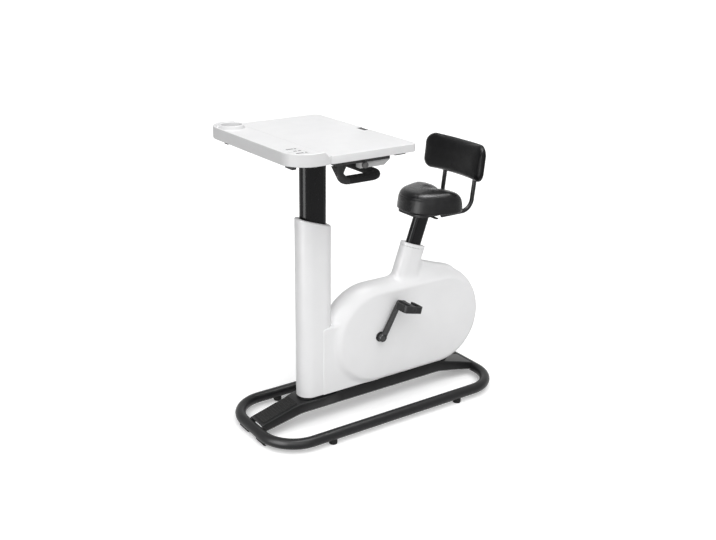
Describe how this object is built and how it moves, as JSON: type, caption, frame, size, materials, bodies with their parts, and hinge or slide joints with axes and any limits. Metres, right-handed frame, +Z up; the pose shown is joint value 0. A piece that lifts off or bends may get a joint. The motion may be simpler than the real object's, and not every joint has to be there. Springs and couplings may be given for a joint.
{
  "type": "desk exercise bike",
  "caption": "Upright exercise bike joined to a height-adjustable desk: tube-ring base, telescoping column, sliding desktop, enclosed flywheel drive, saddle with backrest.",
  "frame": {"origin": "on the floor under the middle of the base ring", "axes": "+Z up; +X from the desk towards the seat, so the rider faces -X; +Y to the rider's right"},
  "size_m": [1.218, 0.71, 1.2747],
  "materials": {
    "black_steel": "satin black powder coat",
    "white_cover": "satin white",
    "white_board": "white lacquered board",
    "black_plastic": "fine texture",
    "grey_plastic": "satin",
    "rubber": "matte",
    "foam_grip": "matte foam",
    "bare_steel": "machined",
    "cast_iron": "as cast",
    "black_leather": "smooth artificial leather"
  },
  "bodies": {
    "base": {"base_ring": "black_steel", "spine_beam": "black_steel", "tread_mat": "rubber", "foot_front_left": "rubber", "foot_front_right": "rubber", "foot_rear_left": "rubber", "foot_rear_right": "rubber", "roller_axle": "bare_steel", "column_tube": "black_steel", "column_cover": "white_cover", "column_bush": "black_plastic", "gas_cylinder": "bare_steel", "main_frame": "black_steel", "housing_left": "white_cover", "housing_right": "white_cover", "seat_collar": "white_cover", "seat_bush": "black_plastic", "crank_bearing_left": "bare_steel", "crank_bearing_right": "bare_steel", "trim_ring_left": "black_plastic", "trim_ring_right": "black_plastic", "drive_belt": "rubber", "flywheel_axle": "bare_steel", "brake_magnet": "bare_steel"},
    "desk_carrier": {"column_inner": "black_steel", "gas_rod": "bare_steel", "desk_frame": "black_steel", "fixed_rail_left": "black_steel", "fixed_rail_right": "black_steel", "side_bracket_left": "grey_plastic", "side_bracket_right": "grey_plastic", "front_tray": "white_cover", "display_panel": "white_cover", "handlebar": "foam_grip"},
    "desktop_board": {"desktop": "white_board", "slider_rail_left": "black_steel", "slider_rail_right": "black_steel"},
    "height_paddle": {"height_paddle": "black_plastic"},
    "slide_lever": {"slide_lever": "black_plastic"},
    "rail_knob_left": {"rail_knob_left": "black_plastic"},
    "rail_knob_right": {"rail_knob_right": "black_plastic"},
    "button_down": {"button_down": "white_cover"},
    "button_mode": {"button_mode": "white_cover"},
    "button_up": {"button_up": "white_cover"},
    "crankset": {"crank_axle": "bare_steel", "crank_left": "black_steel", "crank_right": "black_steel", "drive_pulley": "black_plastic"},
    "pedal_left": {"pedal_left": "black_plastic"},
    "pedal_right": {"pedal_right": "black_plastic"},
    "flywheel": {"flywheel": "cast_iron"},
    "seat": {"seat_post": "black_steel", "seat_pan": "black_plastic", "seat_cushion": "black_leather", "backrest_frame": "black_steel", "backrest_pad": "black_leather"},
    "seat_lever": {"seat_lever": "black_plastic"},
    "roller_left": {"roller_left": "rubber"},
    "roller_right": {"roller_right": "rubber"}
  },
  "joints": [
    {"name": "desk_lift", "type": "slide", "parent": "base", "child": "desk_carrier", "axis": [0, 0, 1], "range_m": [-0.25, 0]},
    {"name": "desktop_slide", "type": "slide", "parent": "desk_carrier", "child": "desktop_board", "axis": [1, 0, 0], "range_m": [0, 0.12]},
    {"name": "height_paddle_press", "type": "hinge", "parent": "desktop_board", "child": "height_paddle", "pos_m": [-0.062, -0.0145, 1.25145], "axis": [0, 1, 0], "range_deg": [0, 12], "stiffness_Nm_per_rad": 0.6, "springref_deg": -2.86},
    {"name": "slide_lever_pull", "type": "hinge", "parent": "desktop_board", "child": "slide_lever", "pos_m": [-0.117, -0.322, 1.2249], "axis": [1, 0, 0], "range_deg": [0, 12], "stiffness_Nm_per_rad": 0.6, "springref_deg": -2.86},
    {"name": "rail_knob_left_turn", "type": "hinge", "parent": "desk_carrier", "child": "rail_knob_left", "pos_m": [-0.256, -0.3, 1.196], "axis": [0, 1, 0], "range_deg": [-180, 180]},
    {"name": "rail_knob_right_turn", "type": "hinge", "parent": "desk_carrier", "child": "rail_knob_right", "pos_m": [-0.256, 0.3, 1.196], "axis": [0, 1, 0], "range_deg": [-180, 180]},
    {"name": "button_down_press", "type": "slide", "parent": "desk_carrier", "child": "button_down", "axis": [0, 0, -1], "range_m": [0, 0.0012], "stiffness_N_per_m": 400, "springref_m": -0.001},
    {"name": "button_mode_press", "type": "slide", "parent": "desk_carrier", "child": "button_mode", "axis": [0, 0, -1], "range_m": [0, 0.0012], "stiffness_N_per_m": 400, "springref_m": -0.001},
    {"name": "button_up_press", "type": "slide", "parent": "desk_carrier", "child": "button_up", "axis": [0, 0, -1], "range_m": [0, 0.0012], "stiffness_N_per_m": 400, "springref_m": -0.001},
    {"name": "flywheel_spin", "type": "hinge", "parent": "base", "child": "flywheel", "pos_m": [0.36, 0, 0.3], "axis": [0, 1, 0], "continuous": true},
    {"name": "crank_spin", "type": "hinge", "parent": "base", "child": "crankset", "pos_m": [0.0155, 0, 0.341], "axis": [0, 1, 0], "continuous": true},
    {"name": "pedal_left_spin", "type": "hinge", "parent": "crankset", "child": "pedal_left", "pos_m": [0.09947, -0.15, 0.48881], "axis": [0, 1, 0], "continuous": true},
    {"name": "pedal_right_spin", "type": "hinge", "parent": "crankset", "child": "pedal_right", "pos_m": [-0.06847, 0.15, 0.19319], "axis": [0, 1, 0], "continuous": true},
    {"name": "seat_slide", "type": "slide", "parent": "base", "child": "seat", "axis": [0.3289, 0, 0.9444], "range_m": [-0.1, 0.1]},
    {"name": "seat_lever_lift", "type": "hinge", "parent": "seat", "child": "seat_lever", "pos_m": [0.29, -0.03, 0.83875], "axis": [1, 0, 0], "range_deg": [-6, 0], "stiffness_Nm_per_rad": 1.5, "springref_deg": 5.73},
    {"name": "roller_left_spin", "type": "hinge", "parent": "base", "child": "roller_left", "pos_m": [-0.586, -0.07, 0.0126], "axis": [0, 1, 0], "continuous": true},
    {"name": "roller_right_spin", "type": "hinge", "parent": "base", "child": "roller_right", "pos_m": [-0.586, 0.07, 0.0126], "axis": [0, 1, 0], "continuous": true}
  ],
  "couplings": [
    {"joint": "crank_spin", "follows": "flywheel_spin", "ratio": 0.16364}
  ]
}
